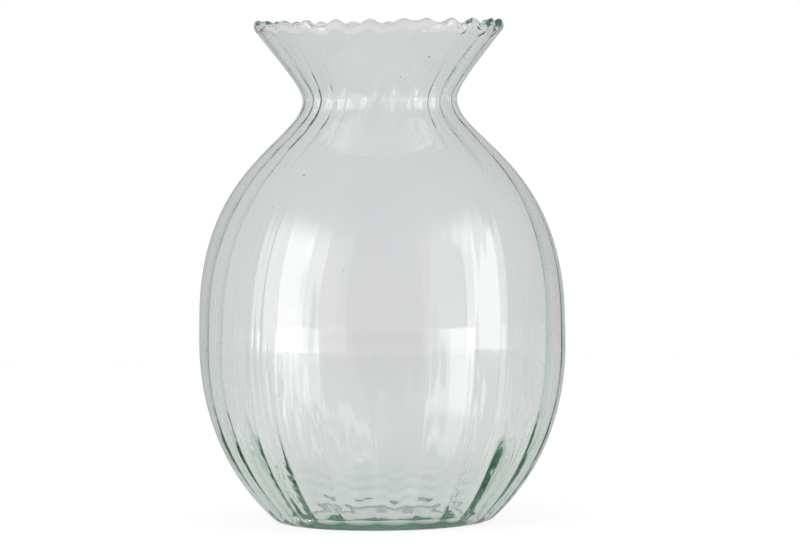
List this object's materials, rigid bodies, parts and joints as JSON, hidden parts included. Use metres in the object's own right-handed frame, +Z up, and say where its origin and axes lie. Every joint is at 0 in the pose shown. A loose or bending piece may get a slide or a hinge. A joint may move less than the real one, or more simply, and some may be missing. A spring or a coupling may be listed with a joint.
{
  "type": "glass vase",
  "caption": "Round-bellied clear glass vase with upright ribs, a drawn-in neck, a flared collar and a scalloped rounded lip, standing on a thick green-tinted foot.",
  "frame": {"origin": "centre of the foot on the surface the vase stands on", "axes": "+Z up along the vase's axis, -Y towards the picture's front, +X to the right seen from the front"},
  "size_m": [0.1996, 0.1996, 0.273],
  "materials": {
    "glass": "clear, fire-polished, mouth-blown glass with a faint green tint that deepens where it is thick, a few seeds"
  },
  "bodies": {
    "root": {"foot_disc": "glass", "heel": "glass", "lower_belly": "glass", "upper_belly": "glass", "shoulder": "glass", "neck": "glass", "collar": "glass", "lip": "glass"}
  },
  "joints": []
}
